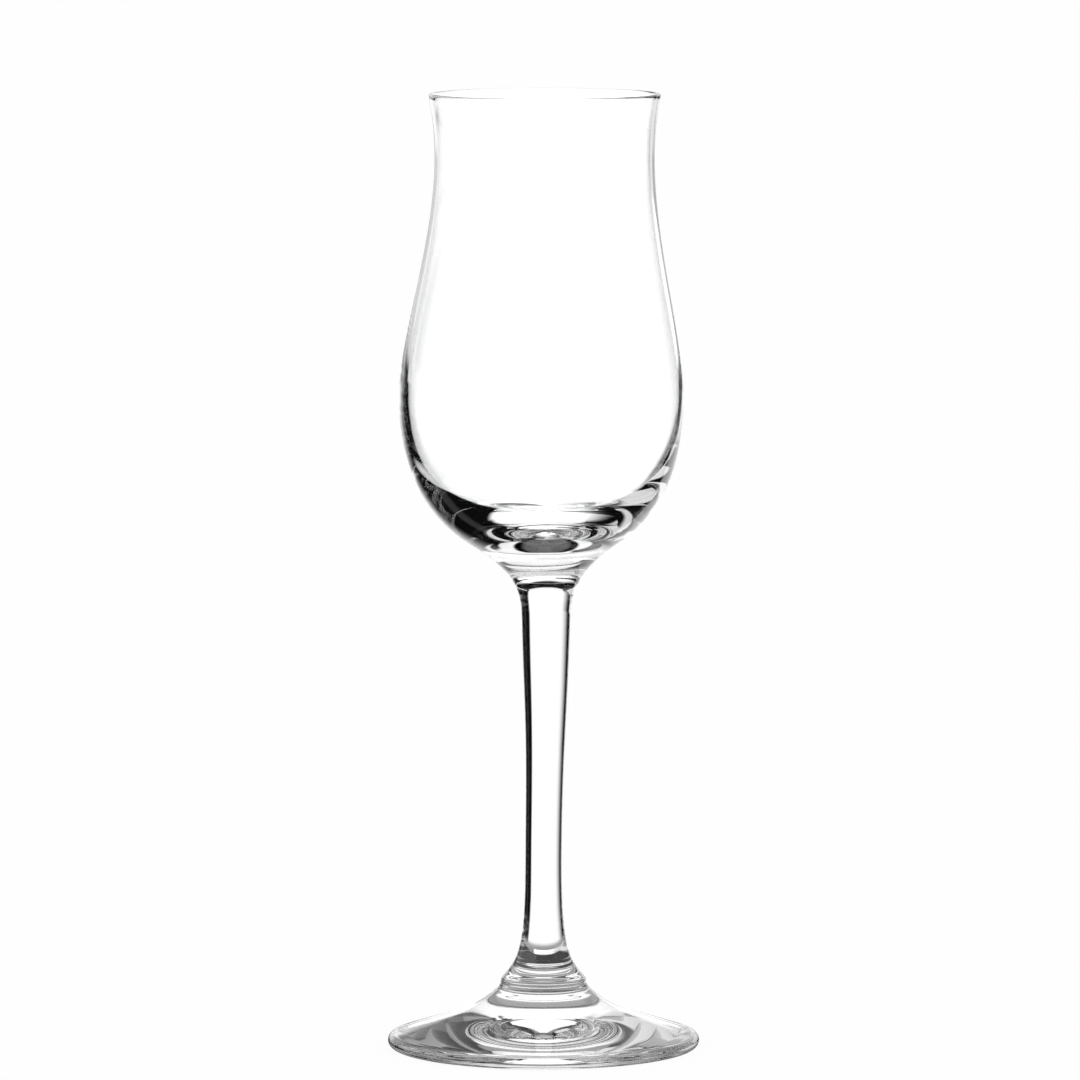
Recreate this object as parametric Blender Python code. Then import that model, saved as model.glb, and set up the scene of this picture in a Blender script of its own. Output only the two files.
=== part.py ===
"""A port glass of clear crystal: a blown bowl, a drawn stem and a pressed foot, fused in line at two seams.

Metres, +Z up. The origin is the centre of the standing plane, and each piece is turned about Z.
"""

import math
from collections import namedtuple

import bmesh
import bpy

# A station is a place on a turned outline: its radius and height, its lean from straight down (outwards is
# positive), and how far the curve keeps to that lean before it and after it. Outlines run from top to bottom.
Station = namedtuple("Station", "radius height lean before after")

# Overall height, and the gap left at each fused seam
HEIGHT = 0.190
SEAM_GAP = 0.0003

# Bowl, outside: flared lip, waist, belly, and the keel where the round base turns into the stem's flare
LIP_WALL = 0.0009
LIP_FLARE = math.radians(-8)
LIP_RADIUS = 0.0229
LIP_REACH = 0.0044
WAIST = Station(0.02175, 0.177, 0, 0.0068, 0.0168)
BELLY = Station(0.02825, 0.1304, 0, 0.0110, 0.0157)
KEEL = Station(0.01455, 0.1006, math.radians(-56.7), 0.0101, 0.0049)

# Bowl, inside: the wall thickens downwards, and the well is the lowest point of the inside
WAIST_WALL = 0.0010
BELLY_WALL = 0.0013
INNER_WAIST = Station(WAIST.radius - WAIST_WALL, WAIST.height, 0, WAIST.before, WAIST.after)
INNER_BELLY = Station(BELLY.radius - BELLY_WALL, 0.1316, 0, 0.0110, 0.0195)
WELL = Station(0, 0.1043, math.radians(-90), 0.0182, 0)

# Stem: its flare starts at the bowl's seam, and it is slimmest well below the middle
BOWL_SEAM = Station(0.00673, 0.0934, math.radians(-31.7), 0.0026, 0.0037)
THROAT = Station(0.0048, 0.0835, math.radians(-1.7), 0.0038, 0.0180)
SLIM = Station(0.00365, 0.038, 0, 0.0252, 0.0172)
COLLAR = Station(0.0082, 0.0141, math.radians(44), 0.0050, 0.0003)

# Foot: a short neck under the stem's collar, a sweep out to the brink, and a rolled edge
FOOT_SEAM = Station(0.0086, 0.01305, math.radians(13), 0.00045, 0.00045)
NECK = Station(0.0090, 0.0120, math.radians(45), 0.0003, 0.0067)
FOOT_RADIUS = 0.0310
EDGE_THICKNESS = 0.00275
EDGE_ROLL = EDGE_THICKNESS / 2
BRINK = Station(FOOT_RADIUS - EDGE_ROLL, EDGE_THICKNESS, math.radians(71.5), 0.0113, 0)

# Foot, underside: a flat standing ring round a shallow hollow
RING_WIDTH = 0.0030
HOLLOW_HEIGHT = 0.0024
HOLLOW_RIM = Station(BRINK.radius - RING_WIDTH, 0, math.radians(-98), 0, 0.0090)
HOLLOW_CROWN = Station(0, HOLLOW_HEIGHT, math.radians(-90), 0.0100, 0)

# Each seam is a shallow dome in a dish of the same curve, so that the two pieces centre on each other
SEAM_DOME = 0.0008

# Facets round each piece, and points along each dome
BOWL_SIDES = 48
STEM_SIDES = 32
FOOT_SIDES = 56
DOME_POINTS = 4

CRYSTAL_COLOUR = (0.95, 0.965, 0.96, 1.0)
CRYSTAL_ROUGHNESS = 0.02
CRYSTAL_INDEX = 1.52


def clear_scene():
    for old in list(bpy.data.objects):
        bpy.data.objects.remove(old, do_unlink=True)


def crystal(name):
    """Clear polished glass."""
    material = bpy.data.materials.new(name)
    material.use_nodes = True
    shader = material.node_tree.nodes["Principled BSDF"]
    shader.inputs["Base Color"].default_value = CRYSTAL_COLOUR
    shader.inputs["Roughness"].default_value = CRYSTAL_ROUGHNESS
    shader.inputs["Metallic"].default_value = 0.0
    shader.inputs["IOR"].default_value = CRYSTAL_INDEX
    shader.inputs["Transmission Weight"].default_value = 1.0
    return material


def point(station):
    return station.radius, station.height


def ahead(station, distance):
    """The point this far along the station's lean."""
    return (
        station.radius + distance * math.sin(station.lean),
        station.height - distance * math.cos(station.lean),
    )


def run(upper, lower, count):
    """Points down the curve from one station to the next: its start, but not its end."""
    corners = point(upper), ahead(upper, upper.after), ahead(lower, -lower.before), point(lower)
    points = []
    for step in range(count):
        t = step / count
        weights = (1 - t) ** 3, 3 * t * (1 - t) ** 2, 3 * t * t * (1 - t), t**3
        points.append(tuple(sum(w * c[axis] for w, c in zip(weights, corners)) for axis in (0, 1)))
    return points


def arc(centre, radius, start, end, count):
    """Points round a circle from one angle to another, both ends included."""
    angles = [start + (end - start) * step / count for step in range(count + 1)]
    return [(centre[0] + radius * math.cos(a), centre[1] + radius * math.sin(a)) for a in angles]


def dome(radius, height, rise):
    """Points across a shallow dome from its edge to the axis, both ends included."""
    shares = [step / DOME_POINTS for step in range(DOME_POINTS + 1)]
    return [(radius * (1 - s), height + rise * (1 - (1 - s) ** 2)) for s in shares]


def raised(station, distance):
    return station._replace(height=station.height + distance)


def bowl_outline():
    """Up the inside from the well, over the rounded lip, down the outside and across the seam."""
    roll = LIP_WALL / 2
    centre = LIP_RADIUS - roll, HEIGHT - roll
    lip = arc(centre, roll, LIP_FLARE + math.pi, LIP_FLARE, 6)
    inner_lip = Station(*lip[0], LIP_FLARE, 0, LIP_REACH)
    outer_lip = Station(*lip[-1], LIP_FLARE, 0, LIP_REACH)
    seam = raised(BOWL_SEAM, SEAM_GAP / 2)
    inside = run(inner_lip, INNER_WAIST, 4) + run(INNER_WAIST, INNER_BELLY, 9) + run(INNER_BELLY, WELL, 13)
    outside = run(outer_lip, WAIST, 4) + run(WAIST, BELLY, 9) + run(BELLY, KEEL, 10) + run(KEEL, seam, 4)
    inside_up = [point(WELL)] + inside[:0:-1]
    return inside_up + lip[:-1] + outside + dome(*point(seam), SEAM_DOME)


def stem_outline():
    """Across the domed top, down the side and across the domed lower end."""
    top = raised(BOWL_SEAM, -SEAM_GAP / 2)
    end = raised(FOOT_SEAM, SEAM_GAP / 2)
    side = run(top, THROAT, 6) + run(THROAT, SLIM, 7) + run(SLIM, COLLAR, 12) + run(COLLAR, end, 3)
    return dome(*point(top), SEAM_DOME)[:0:-1] + side + dome(*point(end), -SEAM_DOME)


def foot_outline():
    """Across the dished top, down the sweep, round the rolled edge and in under the hollow."""
    top = raised(FOOT_SEAM, -SEAM_GAP / 2)
    sweep = run(top, NECK, 2) + run(NECK, BRINK, 12)
    edge = arc((BRINK.radius, EDGE_ROLL), EDGE_ROLL, math.pi / 2, -math.pi / 2, 8)
    hollow = run(HOLLOW_RIM, HOLLOW_CROWN, 8) + [point(HOLLOW_CROWN)]
    return dome(*point(top), -SEAM_DOME)[:0:-1] + sweep + edge + hollow


def turned(name, outline, sides, seat, parent):
    """One closed piece turned about Z, with its own origin at the height of its seat."""
    shape = bmesh.new()
    verts = [shape.verts.new((radius, 0, height - seat)) for radius, height in outline]
    edges = [shape.edges.new(pair) for pair in zip(verts, verts[1:])]
    bmesh.ops.spin(
        shape,
        geom=verts + edges,
        cent=(0, 0, 0),
        axis=(0, 0, 1),
        angle=2 * math.pi,
        steps=sides,
        use_merge=True,
    )
    bmesh.ops.remove_doubles(shape, verts=shape.verts, dist=1e-6)
    bmesh.ops.recalc_face_normals(shape, faces=shape.faces)
    mesh = bpy.data.meshes.new(name)
    shape.to_mesh(mesh)
    shape.free()
    mesh.shade_smooth()
    mesh.set_sharp_from_angle(angle=math.radians(40))
    mesh.materials.append(crystal(name + "_crystal"))
    piece = bpy.data.objects.new(name, mesh)
    piece.location = 0, 0, seat
    piece.parent = parent
    bpy.context.scene.collection.objects.link(piece)


def build():
    clear_scene()
    glass = bpy.data.objects.new("port_glass", None)
    bpy.context.scene.collection.objects.link(glass)
    turned("bowl", bowl_outline(), BOWL_SIDES, BOWL_SEAM.height, glass)
    turned("stem", stem_outline(), STEM_SIDES, FOOT_SEAM.height, glass)
    turned("foot", foot_outline(), FOOT_SIDES, 0, glass)


build()
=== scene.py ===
"""The look of the port glass: polished clear crystal on a white studio table, between dark flags.

Metres, +Z up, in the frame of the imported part. Every piece is turned about Z, and the bowl and the stem
sway a fraction of a millimetre off that axis, as handmade glass does.
"""

import math
from collections import namedtuple

import bmesh
import bpy
from mathutils import Matrix, Vector


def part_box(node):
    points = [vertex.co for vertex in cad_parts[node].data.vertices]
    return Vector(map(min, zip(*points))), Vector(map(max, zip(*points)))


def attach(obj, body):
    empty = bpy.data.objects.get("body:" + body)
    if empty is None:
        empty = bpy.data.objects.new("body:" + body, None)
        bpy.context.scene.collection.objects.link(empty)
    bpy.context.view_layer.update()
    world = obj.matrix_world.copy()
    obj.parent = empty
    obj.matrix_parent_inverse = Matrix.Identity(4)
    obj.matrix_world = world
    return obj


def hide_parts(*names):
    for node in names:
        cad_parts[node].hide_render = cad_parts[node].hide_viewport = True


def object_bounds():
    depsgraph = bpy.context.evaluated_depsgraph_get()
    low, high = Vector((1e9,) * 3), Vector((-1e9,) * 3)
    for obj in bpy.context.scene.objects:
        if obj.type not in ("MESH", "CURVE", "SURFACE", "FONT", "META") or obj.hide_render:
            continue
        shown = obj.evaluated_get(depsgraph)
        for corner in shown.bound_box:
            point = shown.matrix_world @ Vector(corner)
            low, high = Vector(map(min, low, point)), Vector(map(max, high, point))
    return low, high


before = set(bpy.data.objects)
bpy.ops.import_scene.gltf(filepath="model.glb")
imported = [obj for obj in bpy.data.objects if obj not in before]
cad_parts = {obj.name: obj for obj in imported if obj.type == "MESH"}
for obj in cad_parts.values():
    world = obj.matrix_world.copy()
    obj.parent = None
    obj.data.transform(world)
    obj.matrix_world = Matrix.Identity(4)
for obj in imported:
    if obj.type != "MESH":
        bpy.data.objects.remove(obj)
cad_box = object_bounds()

# A station is a place on a turned outline: its radius and height, its lean from straight down (outwards
# is positive), and how far the curve keeps to that lean before it and after it. Outlines run from top to
# bottom.
Station = namedtuple("Station", "radius height lean before after")

HEIGHT = cad_box[1].z
FOOT_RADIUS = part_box("foot")[1].x

# Bowl, outside: flared lip, waist, belly, and the keel where the round base turns into the stem's flare
LIP_WALL = 0.0009
LIP_FLARE = math.radians(-8)
LIP_RADIUS = 0.0229
LIP_REACH = 0.0044
WAIST = Station(0.02175, 0.177, 0, 0.0068, 0.0168)
BELLY = Station(0.02825, 0.1304, 0, 0.0110, 0.0157)
KEEL = Station(0.01455, 0.1006, math.radians(-56.7), 0.0101, 0.0049)

# Bowl, inside: the wall thickens downwards to a thick solid base
WAIST_WALL = 0.0010
BELLY_WALL = 0.0013
INNER_WAIST = Station(WAIST.radius - WAIST_WALL, WAIST.height, 0, WAIST.before, WAIST.after)
INNER_BELLY = Station(BELLY.radius - BELLY_WALL, 0.1316, 0, 0.0110, 0.0195)
WELL = Station(0, 0.1043, math.radians(-90), 0.0182, 0)

# Stem, from the seam under the bowl to the collar above the foot
BOWL_SEAM = Station(0.00673, 0.0934, math.radians(-31.7), 0.0026, 0.0037)
THROAT = Station(0.0048, 0.0835, math.radians(-1.7), 0.0038, 0.0180)
SLIM = Station(0.00365, 0.038, 0, 0.0252, 0.0172)
COLLAR = Station(0.0082, 0.0141, math.radians(44), 0.0050, 0.0003)

# Foot: a short neck, a sweep out to the brink, a rolled edge, a standing ring and a shallow hollow
FOOT_SEAM = Station(0.0086, 0.01305, math.radians(13), 0.00045, 0.00045)
NECK = Station(0.0090, 0.0120, math.radians(45), 0.0003, 0.0067)
EDGE_THICKNESS = 0.00275
EDGE_ROLL = EDGE_THICKNESS / 2
BRINK = Station(FOOT_RADIUS - EDGE_ROLL, EDGE_THICKNESS, math.radians(71.5), 0.0113, 0)
RING_WIDTH = 0.0030
HOLLOW_HEIGHT = 0.0024
HOLLOW_RIM = Station(BRINK.radius - RING_WIDTH, 0, math.radians(-98), 0, 0.0090)
HOLLOW_CROWN = Station(0, HOLLOW_HEIGHT, math.radians(-90), 0.0100, 0)

# Fused seams: a shallow dome in a dish, with a hairline between them
SEAM_DOME = 0.0008
SEAM_HAIRLINE = 0.00002

# Tooling rings that the jacks leave where the stem is pressed into the foot
RINGS_LOW = 0.0092
RINGS_HIGH = 0.0165
RING_PITCH = 0.0012
RING_DEPTH = 0.00005

# Handmade sway: heights, and how far the skin wanders to the right of the axis there. The inside of the
# bowl wanders less than its outside, so that the wall is thicker on the left.
SKIN_SWAY = (
    (0.190, 0.00024),
    (0.177, 0.00020),
    (0.127, -0.00046),
    (0.104, -0.00018),
    (0.092, 0.00052),
    (0.075, 0.00048),
    (0.034, 0.0),
)
INNER_SWAY = (0.190, 0.00024), (0.177, 0.00020), (0.129, -0.00008)

# Steps along each stretch of an outline, most where the rings are pressed in and in the well
LIP_STEPS = 16
WAIST_STEPS = 36
WELL_STEPS = 80
BELLY_STEPS = 60
KEEL_STEPS = 30
THROAT_STEPS = 36
STEM_STEPS = 40
TOOLED_STEPS = 110
COLLAR_STEPS = 12
NECK_STEPS = 10
EDGE_STEPS = 28
HOLLOW_STEPS = 48
SEAM_STEPS = 8

# Facets round each piece, the distance under which points are one, and the angle from which an edge is
# sharp
BOWL_SIDES = 144
STEM_SIDES = 96
FOOT_SIDES = 144
ONE_POINT = 1e-6
SHARP_ANGLE = math.radians(40)


def point(station):
    return station.radius, station.height


def ahead(station, distance):
    """The point this far along the station's lean."""
    return (
        station.radius + distance * math.sin(station.lean),
        station.height - distance * math.cos(station.lean),
    )


def run(upper, lower, count):
    """Points down the curve from one station to the next: its start, but not its end."""
    corners = point(upper), ahead(upper, upper.after), ahead(lower, -lower.before), point(lower)
    points = []
    for step in range(count):
        t = step / count
        weights = (1 - t) ** 3, 3 * t * (1 - t) ** 2, 3 * t * t * (1 - t), t**3
        points.append(tuple(sum(w * c[axis] for w, c in zip(weights, corners)) for axis in (0, 1)))
    return points


def arc(centre, radius, start, end, count):
    """Points round a circle from one angle to another, both ends included."""
    angles = [start + (end - start) * step / count for step in range(count + 1)]
    return [(centre[0] + radius * math.cos(a), centre[1] + radius * math.sin(a)) for a in angles]


def dome(radius, height, rise):
    """Points across a shallow dome from its edge to the axis, both ends included."""
    shares = [step / SEAM_STEPS for step in range(SEAM_STEPS + 1)]
    return [(radius * (1 - s), height + rise * (1 - (1 - s) ** 2)) for s in shares]


def raised(station, distance):
    return station._replace(height=station.height + distance)


def tooled(points):
    """The same outline with the tooling rings pressed into it, strongest in the middle of their stretch."""
    marked = []
    for radius, height in points:
        share = min(1, max(0, (height - RINGS_LOW) / (RINGS_HIGH - RINGS_LOW)))
        depth = RING_DEPTH * math.sin(math.pi * share) ** 2
        marked.append((radius + depth * math.sin(2 * math.pi * height / RING_PITCH), height))
    return marked


def sway_at(height, sway):
    """How far the skin sways at a height: a smooth wander from each of the sway's heights to the next."""
    for (upper, start), (lower, end) in zip(sway, sway[1:]):
        if height > lower:
            share = (upper - height) / (upper - lower)
            return start + (end - start) * share * share * (3 - 2 * share)
    return sway[-1][1]


def bowl_outline():
    """Up the inside from the well, then over the rounded lip and down the outside, and across the seam."""
    roll = LIP_WALL / 2
    centre = LIP_RADIUS - roll, HEIGHT - roll
    lip = arc(centre, roll, LIP_FLARE + math.pi, LIP_FLARE, LIP_STEPS)
    inner_lip = Station(*lip[0], LIP_FLARE, 0, LIP_REACH)
    outer_lip = Station(*lip[-1], LIP_FLARE, 0, LIP_REACH)
    seam = raised(BOWL_SEAM, SEAM_HAIRLINE / 2)
    inside = run(inner_lip, INNER_WAIST, LIP_STEPS)
    inside += run(INNER_WAIST, INNER_BELLY, WAIST_STEPS)
    inside += run(INNER_BELLY, WELL, WELL_STEPS)
    outside = run(outer_lip, WAIST, LIP_STEPS)
    outside += run(WAIST, BELLY, WAIST_STEPS)
    outside += run(BELLY, KEEL, BELLY_STEPS)
    outside += run(KEEL, seam, KEEL_STEPS)
    return [point(WELL)] + inside[::-1], lip[:-1] + outside + [point(seam)], dome(*point(seam), SEAM_DOME)


def stem_outline():
    """The domed top, the side from one seam to the other, and the domed lower end."""
    top = raised(BOWL_SEAM, -SEAM_HAIRLINE / 2)
    end = raised(FOOT_SEAM, SEAM_HAIRLINE / 2)
    side = run(top, THROAT, THROAT_STEPS)
    side += run(THROAT, SLIM, STEM_STEPS)
    side += run(SLIM, COLLAR, TOOLED_STEPS)
    side += run(COLLAR, end, COLLAR_STEPS)
    return dome(*point(top), SEAM_DOME)[::-1], tooled(side + [point(end)]), dome(*point(end), -SEAM_DOME)


def foot_outline():
    """The dished top, and the sweep from the neck, round the rolled edge and in under the hollow."""
    top = raised(FOOT_SEAM, -SEAM_HAIRLINE / 2)
    sweep = run(top, NECK, NECK_STEPS) + run(NECK, BRINK, TOOLED_STEPS)
    edge = arc((BRINK.radius, EDGE_ROLL), EDGE_ROLL, math.pi / 2, -math.pi / 2, EDGE_STEPS)
    hollow = run(HOLLOW_RIM, HOLLOW_CROWN, HOLLOW_STEPS) + [point(HOLLOW_CROWN)]
    return dome(*point(top), -SEAM_DOME)[::-1], tooled(sweep) + edge + hollow


class Shade:
    """A shader socket in arithmetic: an expression on shades adds its Math nodes to their tree."""

    def __init__(self, tree, socket=None):
        self.tree = tree
        self.socket = socket

    def node(self, kind, settings=(), inputs=(), output=0):
        """A new node: its settings come first, then the values or links of its sockets."""
        made = self.tree.nodes.new("ShaderNode" + kind)
        for name, value in dict(settings).items():
            setattr(made, name, value)
        for name, value in dict(inputs).items():
            if isinstance(value, Shade):
                self.tree.links.new(value.socket, made.inputs[name])
            else:
                made.inputs[name].default_value = value
        return Shade(self.tree, made.outputs[output] if made.outputs else None)

    def maths(self, operation, first, second=0.0):
        return self.node("Math", {"operation": operation}, {0: first, 1: second})

    def __add__(self, other):
        return self.maths("ADD", self, other)

    __radd__ = __add__

    def __mul__(self, other):
        return self.maths("MULTIPLY", self, other)

    __rmul__ = __mul__

    def __sub__(self, other):
        return self.maths("SUBTRACT", self, other)

    def __rsub__(self, other):
        return self.maths("SUBTRACT", other, self)

    def __gt__(self, other):
        return self.maths("GREATER_THAN", self, other)

    def fade(self, start, end):
        """0 at the start value, 1 at the end value, smooth between them."""
        bounds = {"Value": self, "From Min": start, "From Max": end}
        return self.node("MapRange", {"interpolation_type": "SMOOTHSTEP"}, bounds)

    def mix(self, none, all_of_it):
        """The first value where this shade is 0, the second where it is 1."""
        bounds = {"Value": self, "To Min": none, "To Max": all_of_it}
        return self.node("MapRange", {"clamp": True}, bounds)

    def either(self, other):
        return self.maths("MAXIMUM", self, other)


def blank_tree(owner):
    """The emptied node tree of a material or a world."""
    owner.use_nodes = True
    owner.node_tree.nodes.clear()
    return Shade(owner.node_tree)


def grey(level):
    return level, level, level, 1.0


# Crystal: colourless with a trace of green
CRYSTAL_TINT = (0.985, 0.993, 0.988, 1.0)
CRYSTAL_INDEX = 1.5

# The skin of each piece has ripples far too shallow to see except in what they bend: how close they lie
# along each axis beside the other two, about how many there are to a metre, and their height
Finish = namedtuple("Finish", "name closeness ripples_per_metre ripple_height")
BLOWN = Finish("blown_crystal", (1, 1, 0.5), 60, 0.000006)
DRAWN = Finish("drawn_crystal", (1, 1, 0.1), 120, 0.00001)
PRESSED = Finish("pressed_crystal", (1, 1, 1), 70, 0.00003)


def crystal(finish):
    """Fire-polished glass with the ripples of its finish."""
    material = bpy.data.materials.new(finish.name)
    tree = blank_tree(material)
    place = tree.node("TexCoord", output="Object")
    drawn = tree.node("Mapping", {}, {"Vector": place, "Scale": finish.closeness})
    ripple = tree.node("TexNoise", {}, {"Vector": drawn, "Scale": finish.ripples_per_metre, "Detail": 1.0})
    skin = tree.node("Bump", {}, {"Height": ripple, "Distance": finish.ripple_height, "Strength": 1.0})
    glass = tree.node(
        "BsdfPrincipled",
        {},
        {
            "Base Color": CRYSTAL_TINT,
            "Roughness": 0.0,
            "IOR": CRYSTAL_INDEX,
            "Transmission Weight": 1.0,
            "Normal": skin,
        },
    )
    tree.node("OutputMaterial", {}, {"Surface": glass})
    return material


def fused_seam(name):
    """The face inside a fused seam, which light crosses as if it weren't there."""
    material = bpy.data.materials.new(name)
    tree = blank_tree(material)
    clear = tree.node("BsdfPrincipled", {}, {"Alpha": 0.0, "Roughness": 0.0, "IOR": 1.0})
    tree.node("OutputMaterial", {}, {"Surface": clear})
    return material


def spin(shape, outline, sway, sides):
    """Turns an outline about Z into faces of the shape, and sways them."""
    known = set(shape.verts)
    verts = [shape.verts.new((radius, 0, height)) for radius, height in outline]
    edges = [shape.edges.new(pair) for pair in zip(verts, verts[1:])]
    bmesh.ops.spin(
        shape,
        geom=verts + edges,
        cent=(0, 0, 0),
        axis=(0, 0, 1),
        angle=2 * math.pi,
        steps=sides,
        use_merge=True,
    )
    for vert in set(shape.verts) - known:
        vert.co.x += sway_at(vert.co.z, sway)


def mesh_of(shape, name):
    mesh = bpy.data.meshes.new(name)
    shape.to_mesh(mesh)
    shape.free()
    return mesh


# A piece has two materials, numbered from 0: its crystal, and that of its fused seams
SEAM_MATERIAL = 1


def turned(name, skins, seams, sides, finish):
    """One closed piece turned about Z: each skin with its sway, in crystal, and the fused seams."""
    shape = bmesh.new()
    for seam in seams:
        spin(shape, seam, SKIN_SWAY, sides)
    materials = crystal(finish), fused_seam(name + "_seam")
    for face in shape.faces:
        face.material_index = SEAM_MATERIAL
    for skin, sway in skins:
        spin(shape, skin, sway, sides)
    bmesh.ops.remove_doubles(shape, verts=shape.verts, dist=ONE_POINT)
    bmesh.ops.recalc_face_normals(shape, faces=shape.faces)
    mesh = mesh_of(shape, name)
    mesh.shade_smooth()
    mesh.set_sharp_from_angle(angle=SHARP_ANGLE)
    for material in materials:
        mesh.materials.append(material)
    piece = bpy.data.objects.new(name, mesh)
    bpy.context.scene.collection.objects.link(piece)
    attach(piece, "root")
    return piece


def make_glass():
    inside, outside, seam = bowl_outline()
    skins = (inside, INNER_SWAY), (outside, SKIN_SWAY)
    bowl = turned("glass_bowl", skins, [seam], BOWL_SIDES, BLOWN)
    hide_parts("bowl")
    top, side, end = stem_outline()
    skins = ((side, SKIN_SWAY),)
    stem = turned("glass_stem", skins, [top, end], STEM_SIDES, DRAWN)
    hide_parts("stem")
    seam, skin = foot_outline()
    skins = ((skin, SKIN_SWAY),)
    foot = turned("glass_foot", skins, [seam], FOOT_SIDES, PRESSED)
    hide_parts("foot")


# Studio: a white table and backdrop, where they are seen. The glass itself stands in a dark room with a
# lit backdrop behind it and a lit wall on the left, which draws its edges dark. Bearings are degrees
# round the glass: 0 is straight behind it, and positive is to the right.
BRIGHT = 1.25
DARK = 0.004

# The table lies a hair below the standing ring. To the camera it is nearly all white glow, over pale
# paint.
TABLE_REACH = 8.0
TABLE_GAP = 0.0002
TABLE_GLOW = 0.95
TABLE_PAINT = 0.85

# A lit panel of the room: the bearings or elevations between which each of its sides fades in, and its
# level. An open side lies past the end of the scale, so that the panel has no edge there.
Panel = namedtuple("Panel", "left right bottom top level")
OPEN_LEFT = -182, -181
OPEN_RIGHT = 182, 181
OPEN_BOTTOM = -92, -91
OPEN_TOP = 92, 91
BACKDROP_RIGHT = 34, 28
BACKDROP_TOP = 82, 74
LEFT_WALL_TOP = 52, 44
BACKDROP = Panel((-49, -21), BACKDROP_RIGHT, OPEN_BOTTOM, (36, 26), BRIGHT)
HIGH_BACKDROP = Panel((-33, -28), BACKDROP_RIGHT, OPEN_BOTTOM, BACKDROP_TOP, 1.15)
LEFT_WALL = Panel((-155, -145), (-55, -61), OPEN_BOTTOM, LEFT_WALL_TOP, 0.85)
RIGHT_WALL = Panel((58, 64), (112, 106), OPEN_BOTTOM, (30, 22), 0.1)
OVERHEAD = Panel(OPEN_LEFT, OPEN_RIGHT, (51, 61), OPEN_TOP, 0.3)
ROOM = BACKDROP, HIGH_BACKDROP, LEFT_WALL, RIGHT_WALL, OVERHEAD

# A stretch of the table lit by painted light: the bearings between which each of its sides fades in, and
# its level
Stretch = namedtuple("Stretch", "left right level")
TABLE_BACK = Stretch((-54, -26), BACKDROP_RIGHT, 1.1)
TABLE_LEFT = Stretch((-155, -145), (-71, -77), 0.75)
TABLE_FRONT = Stretch(OPEN_LEFT, (-145, -155), 0.25)
TABLE_RIGHT = Stretch((58, 64), OPEN_RIGHT, 0.02)
TABLE_STRETCHES = TABLE_BACK, TABLE_LEFT, TABLE_FRONT, TABLE_RIGHT

# Through solid glass the table shows a painted shadow of the glass, grey under the foot and dark under the
# stem: the distances from the axis between which each of them gives way to what lies round it, and their
# levels
FOOT_SHADOW = 0.04, 0.055
FOOT_SHADOW_LEVEL = 0.37
STEM_SHADOW = 0.012, 0.015
STEM_SHADOW_LEVEL = 0.06

# Light that reflects once inside the glass before it leaves shows a dark patch of painted shade on the
# table behind it, which is a shade paler inside its rim
PATCH_EDGE = 0.068, 0.055
PATCH_RIM = 0.045, 0.030
PATCH_START = 0.04, 0.06
PATCH_REACH = 0.6, 0.45
PATCH_LEVEL = 0.12

# Any light that reflects inside the glass shows two dark stretches of painted shade on the table behind
# it, one on either side: the bearings and distances between which the sides of each fade in
DarkStretch = namedtuple("DarkStretch", "left right start reach")
DARK_STRETCHES = (
    DarkStretch((-45, -38), (-9, -12), (0.3, 0.4), (1.3, 1.1)),
    DarkStretch((17, 21), (40, 36), (0.35, 0.45), (1.0, 0.8)),
)

# Straight behind the glass the horizon is grey to light that reflects once inside it, and to light that
# reflects off its outside
HORIZON_LEVEL = 0.45
HORIZON_SIDES = (-26, -21), (23, 18)
HORIZON_TABLE = 2.2, 3.2
HORIZON_SKY = 4, 1

# Light that reflects off the outside shows a painted pool of white light on the table behind the glass,
# with a slanting right edge, and a painted gleam to its left. Above the table it shows a backdrop that dims
# upwards, most of all on the left, the same gleam, and a lit wall on the left.
LIGHT_POOL_LEFT = -38, -14
LIGHT_POOL_SIDES = LIGHT_POOL_LEFT, (44, 40)
LIGHT_POOL_SLANT = 0.137
LIGHT_POOL_EDGE = 0.38, 0.3
LIGHT_POOL_START = 0.05, 0.08
GLEAM_SIDES = (-74, -68), (-55, -61)
GLEAM = Stretch(*GLEAM_SIDES, 0.3)
MIRRORED_ROOM = (
    Panel(LIGHT_POOL_LEFT, BACKDROP_RIGHT, OPEN_BOTTOM, (18, 10), BRIGHT),
    Panel(LIGHT_POOL_LEFT, BACKDROP_RIGHT, OPEN_BOTTOM, BACKDROP_TOP, 0.4),
    Panel(*GLEAM_SIDES, OPEN_BOTTOM, OPEN_TOP, 0.45),
    Panel((-150, -140), (-42, -48), (1, 3), LEFT_WALL_TOP, 0.85),
    Panel((0, 6), BACKDROP_RIGHT, OPEN_BOTTOM, BACKDROP_TOP, 0.55),
)

# Light that crosses four glass surfaces goes straight on through the thin bowl, which is to look clear,
# but for a shade low on either side. Light that comes in by the mouth crosses two, and the clear film
# there.
THIN_WALL_CROSSINGS = 3
THIN_WALL_LEVEL = 1.3
THIN_WALL_LEVEL_RIGHT = 1.6
THIN_WALL_RIGHT = 0, 12
THIN_WALL_SIDES = (-70, -35), (70, 35)
THIN_WALL_TOP = 70, 50
THIN_WALL_LOW = 14, 8
RIGHT_SHADE = (12, 16), (75, 60)
RIGHT_SHADE_REACH = 0.95, 0.7
LEFT_SHADE = (-42, -36), (-14, -19)
LEFT_SHADE_REACH = 2.5, 1.6
LEFT_SHADE_DEPTH = 0.35

# Light that reflects very often inside the glass and leaves it steeply is piped up the thin wall, and
# lights the lip. Such light that leaves it level runs round the belly instead, which is to stay dark.
PIPED_REFLECTIONS = 32
PIPED_LEVEL = 0.9
PIPED_TABLE = 0.6, 0.4
PIPED_SKY = 20, 30

# Light that goes straight through solid glass towards the front is seen only from behind, where it shows
# a lit room
FRONT_LEVEL = 1.0
FRONT_SIDES = 80, 95
FRONT_TOP = 50, 35


def path_is(tree, kind):
    return tree.node("LightPath", output=f"Is {kind} Ray")


def seen_by_glass(tree):
    return path_is(tree, "Glossy").either(path_is(tree, "Transmission"))


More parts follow.
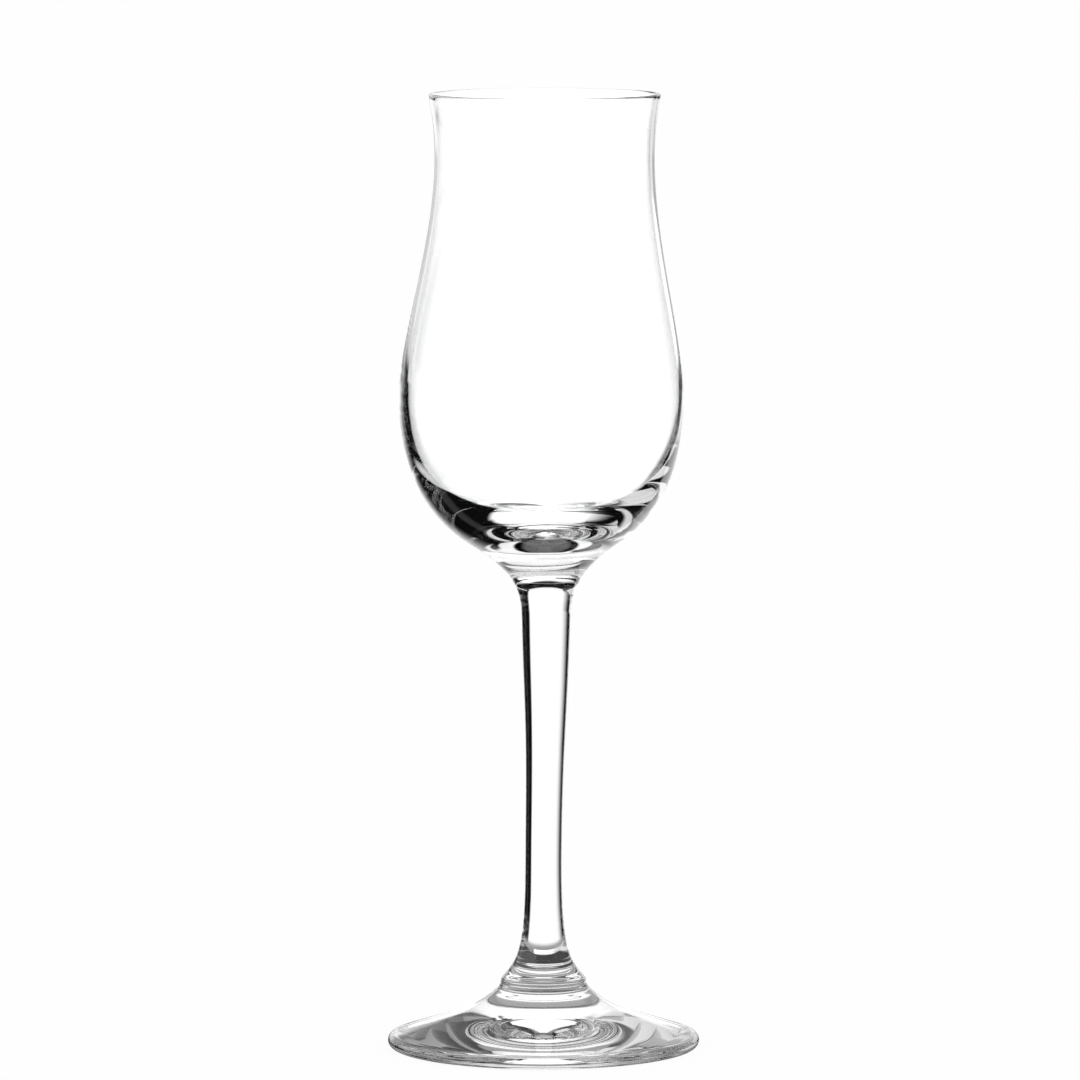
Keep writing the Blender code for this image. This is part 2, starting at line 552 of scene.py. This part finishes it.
def reflections(tree):
    """How often the light has reflected."""
    return tree.node("LightPath", output="Glossy Depth")


def through_thin_wall(tree):
    return tree.node("LightPath", output="Transmission Depth") > THIN_WALL_CROSSINGS - 1


def reflected_inside(tree):
    return path_is(tree, "Transmission") * (reflections(tree) > 0)


def reflected_once(tree):
    return reflected_inside(tree) * (1 - (reflections(tree) > 1))


def straight_through(tree):
    return path_is(tree, "Transmission") * (1 - (reflections(tree) > 0))


def piped(tree):
    return reflections(tree) > PIPED_REFLECTIONS


def any_light(tree):
    return 1.0


def parts(tree, vector):
    return [tree.node("SeparateXYZ", {}, {"Vector": vector}, axis) for axis in "XYZ"]


def degrees(shade):
    return shade.maths("DEGREES", shade)


def bearing_of(across, back):
    return degrees(across.maths("ARCTAN2", across, back))


def staged(name, mesh, material):
    mesh.materials.append(material)
    item = bpy.data.objects.new(name, mesh)
    bpy.context.scene.collection.objects.link(item)
    return item


# A stage square runs from -1 to 1 each way before it is put in place
SQUARE_SIDE = 2


def square(name):
    shape = bmesh.new()
    bmesh.ops.create_grid(shape, x_segments=1, y_segments=1, size=SQUARE_SIDE / 2)
    return mesh_of(shape, name)


def lit_between(shade, one, other):
    """1 between two sides, each given as the value where it is dark and the value where it is fully lit."""
    return shade.fade(*one) * shade.fade(*other)


def thin_wall_level(bearing):
    return bearing.fade(*THIN_WALL_RIGHT).mix(THIN_WALL_LEVEL, THIN_WALL_LEVEL_RIGHT)


def horizon_dimming(bearing, near_horizon):
    return (1 - HORIZON_LEVEL) * lit_between(bearing, *HORIZON_SIDES) * near_horizon


def lit_front(tree, bearing):
    """The level of the table and the low room towards the front, straight through solid glass."""
    return FRONT_LEVEL * straight_through(tree) * bearing.maths("ABSOLUTE", bearing).fade(*FRONT_SIDES)


def lit_stretch(stretch, bearing):
    return stretch.level * lit_between(bearing, stretch.left, stretch.right)


def mirrored_table(across, back, bearing, distance):
    """The level of the table to light that reflects off the outside of the glass: a painted pool of light
    and a painted gleam.
    """
    # Painted pool of light and painted gleam on the table, seen only in reflections off the glass
    light_pool = lit_between(bearing, *LIGHT_POOL_SIDES) * (across - LIGHT_POOL_SLANT * back).fade(*LIGHT_POOL_EDGE)
    light_pool = BRIGHT * light_pool * (1 - horizon_dimming(bearing, distance.fade(*HORIZON_TABLE)))
    return light_pool.either(lit_stretch(GLEAM, bearing)) * distance.fade(*LIGHT_POOL_START)


def clear_table(bearing, distance):
    """The level of the table straight through the thin bowl."""
    right = lit_between(bearing, *RIGHT_SHADE) * distance.fade(*RIGHT_SHADE_REACH)
    left = LEFT_SHADE_DEPTH * lit_between(bearing, *LEFT_SHADE) * distance.fade(*LEFT_SHADE_REACH)
    return thin_wall_level(bearing) * (1 - right) * (1 - left)


def table_as_glass_shows_it(tree):
    """The level of the table by its bearing from the glass and its distance, with its painted light and
    shade.
    """
    across, back, _ = parts(tree, tree.node("TexCoord", output="Object"))
    across = TABLE_REACH * across
    back = TABLE_REACH * back
    bearing = bearing_of(across, back)
    square_of_distance = across * across + back * back
    distance = square_of_distance.maths("SQRT", square_of_distance)
    level = lit_front(tree, bearing).either(DARK)
    for stretch in TABLE_STRETCHES:
        level = lit_stretch(stretch, bearing).either(level)
    # Painted shadow of the glass on the table: grey under the foot, dark under the stem
    level = distance.fade(*FOOT_SHADOW).mix(FOOT_SHADOW_LEVEL, level)
    level = distance.fade(*STEM_SHADOW).mix(STEM_SHADOW_LEVEL, level)
    sideways = across.maths("ABSOLUTE", across)
    # Painted shade: a dark patch on the table behind the glass, paler inside its rim
    patch = sideways.fade(*PATCH_EDGE) * (1 - PATCH_LEVEL * sideways.fade(*PATCH_RIM))
    patch = patch * distance.fade(*PATCH_START) * distance.fade(*PATCH_REACH) * (back > 0.0)
    dimming = horizon_dimming(bearing, distance.fade(*HORIZON_TABLE))
    level = level * (1 - reflected_once(tree) * patch.either(dimming))
    # Painted shade on the table, in a stretch on either side behind the glass
    for dark in DARK_STRETCHES:
        here = lit_between(bearing, dark.left, dark.right) * lit_between(distance, dark.start, dark.reach)
        level = level * (1 - reflected_inside(tree) * here)
    level = through_thin_wall(tree).mix(level, clear_table(bearing, distance))
    level = piped(tree).mix(level, PIPED_LEVEL * distance.fade(*PIPED_TABLE))
    return path_is(tree, "Transmission").mix(mirrored_table(across, back, bearing, distance), level)


def white_table():
    """White to the camera, but to the glass a dark table with its lit stretches, and light and shade painted
    into its glow.
    """
    material = bpy.data.materials.new("white_table")
    tree = blank_tree(material)
    by_glass = seen_by_glass(tree)
    level = by_glass.mix(1.0, table_as_glass_shows_it(tree))
    paint = tree.node("BsdfDiffuse", {}, {"Color": grey(TABLE_PAINT)})
    glow = tree.node("Emission", {}, {"Color": level, "Strength": 1.0})
    shown = (path_is(tree, "Camera") * TABLE_GLOW).either(by_glass)
    mixed = tree.node("MixShader", {}, {0: shown, 1: paint, 2: glow})
    tree.node("OutputMaterial", {}, {"Surface": mixed})
    table = staged("table", square("table"), material)
    table.scale = TABLE_REACH, TABLE_REACH, 1
    table.location.z = cad_box[0].z - TABLE_GAP


def panel_light(panels, bearing, elevation):
    level = DARK
    for panel in panels:
        abreast = lit_between(bearing, panel.left, panel.right)
        here = abreast * lit_between(elevation, panel.bottom, panel.top)
        level = (panel.level * here).either(level)
    return level


def studio_room():
    """White to the camera and as light on the table, but to the glass a dark room with its lit panels."""
    world = bpy.data.worlds.new("studio")
    bpy.context.scene.world = world
    tree = blank_tree(world)
    across, back, up = parts(tree, tree.node("TexCoord", output="Generated"))
    bearing = bearing_of(across, back)
    elevation = degrees(up.maths("ARCSINE", up))
    dimming = horizon_dimming(bearing, elevation.fade(*HORIZON_SKY))
    level = panel_light(ROOM, bearing, elevation) * (1 - reflected_once(tree) * dimming)
    level = (lit_front(tree, bearing) * elevation.fade(*FRONT_TOP)).either(level)
    behind = lit_between(bearing, *THIN_WALL_SIDES) * elevation.fade(*THIN_WALL_TOP)
    clear = thin_wall_level(bearing) * behind.either(elevation.fade(*THIN_WALL_LOW))
    level = through_thin_wall(tree).mix(level, clear)
    level = piped(tree).mix(level, PIPED_LEVEL * elevation.fade(*PIPED_SKY))
    mirrored = panel_light(MIRRORED_ROOM, bearing, elevation) * (1 - dimming)
    level = path_is(tree, "Transmission").mix(mirrored, level)
    light = tree.node("Background", {}, {"Color": seen_by_glass(tree).mix(1.0, level), "Strength": 1.0})
    tree.node("OutputWorld", {}, {"Surface": light})


# The film across the mouth hardly bends light, but counts as one more surface that it crosses
FILM_INDEX = 1.001


def mouth_film():
    shape = bmesh.new()
    bmesh.ops.create_circle(shape, cap_ends=True, segments=BOWL_SIDES, radius=LIP_RADIUS - LIP_WALL)
    material = bpy.data.materials.new("clear_film")
    tree = blank_tree(material)
    film = tree.node("BsdfRefraction", {}, {"Color": grey(1.0), "Roughness": 0.0, "IOR": FILM_INDEX})
    tree.node("OutputMaterial", {}, {"Surface": film})
    disc = staged("mouth_film", mesh_of(shape, "mouth_film"), material)
    disc.location = sway_at(HEIGHT, SKIN_SWAY), 0, HEIGHT - LIP_WALL / 2
    disc.visible_diffuse = False
    disc.visible_shadow = False


# A flag is a dark card that stands on edge beside the glass, out of the camera's sight. Most of them
# darken only light that reflects inside the glass before it leaves. A flag's cloth thins out over a share
# of it at its start, end, bottom and top, which are its fades.
Flag = namedtuple("Flag", "name start end low high fades darkens")
FLAGS = (
    Flag("low_right_flag", (0.08, 0.045), (0.08, 0.14), 0.0, 0.085, (0.05, 0.16, 0, 0.06), any_light),
    Flag("right_flag", (0.08, -0.06), (0.08, 0.07), 0.077, 0.2, (0.05, 0, 0.15, 0.1), reflected_inside),
    Flag("far_right_flag", (0.08, 0.07), (0.08, 0.25), 0.085, 0.132, (0, 0.35, 0.3, 0.12), reflected_once),
    Flag("left_flag", (-0.08, 0.074), (-0.08, 0.27), 0.05, 0.135, (0.03, 0.9, 0.45, 0.12), reflected_inside),
    Flag("near_left_flag", (-0.045, -0.001), (-0.045, 0.038), 0.1, 0.122, (0.05,) * 4, reflected_inside),
)


def flag_cloth(flag):
    material = bpy.data.materials.new(flag.name)
    tree = blank_tree(material)
    along, up, _ = parts(tree, tree.node("TexCoord", output="Object"))
    start, end, bottom, top = (SQUARE_SIDE * share for share in flag.fades)
    cover = (1 - through_thin_wall(tree)) * flag.darkens(tree)
    for across, edge, width in ((along, -1, start), (along, 1, -end), (up, -1, bottom), (up, 1, -top)):
        if width:
            cover = cover * across.fade(edge, edge + width)
    gap = tree.node("BsdfTransparent")
    cloth = tree.node("Emission", {}, {"Color": grey(DARK), "Strength": 1.0})
    mixed = tree.node("MixShader", {}, {0: cover, 1: gap, 2: cloth})
    tree.node("OutputMaterial", {}, {"Surface": mixed})
    return material


def dark_flag(flag):
    """Stands a flag's card upright, from its start to its end and between its two heights."""
    foot = Vector((*flag.start, 0))
    span = Vector((*flag.end, 0)) - foot
    rise = (flag.high - flag.low) / 2
    middle = foot + span / 2 + Vector((0, 0, flag.low + rise))
    face = span.cross(Vector((0, 0, 1))).normalized()
    card = staged(flag.name, square(flag.name), flag_cloth(flag))
    card.matrix_world = Matrix(
        (
            (span.x / 2, 0, face.x, middle.x),
            (span.y / 2, 0, face.y, middle.y),
            (0, rise, 0, middle.z),
            (0, 0, 0, 1),
        )
    )
    card.visible_camera = False
    card.visible_diffuse = False
    card.visible_shadow = False
    card.visible_glossy = False


# Camera: a long lens from a little above the lip, as in the photograph
IMAGE_SIDE = 1080
FOCAL_PIXELS = 8859
SENSOR = 36.0
CAMERA_PLACE = (-0.0007, -1.7485, 0.275)
CAMERA_PITCH = math.radians(5.67)


def long_lens():
    camera = bpy.data.cameras.new("camera")
    camera.sensor_width = SENSOR
    camera.lens = SENSOR * FOCAL_PIXELS / IMAGE_SIDE
    holder = bpy.data.objects.new("camera", camera)
    holder.location = CAMERA_PLACE
    holder.rotation_euler = math.pi / 2 - CAMERA_PITCH, 0, 0
    bpy.context.scene.collection.objects.link(holder)
    bpy.context.scene.camera = holder


# Light reflects many times inside the wall, the solid base and the foot before it leaves
GLASS_BOUNCES = 120


def glass_light_paths():
    cycles = bpy.context.scene.cycles
    cycles.max_bounces = GLASS_BOUNCES
    cycles.glossy_bounces = GLASS_BOUNCES
    cycles.transmission_bounces = GLASS_BOUNCES
    cycles.transparent_max_bounces = GLASS_BOUNCES


make_glass()
white_table()
studio_room()
mouth_film()
for flag in FLAGS:
    dark_flag(flag)
long_lens()
glass_light_paths()
bpy.context.scene.view_settings.view_transform = "Standard"
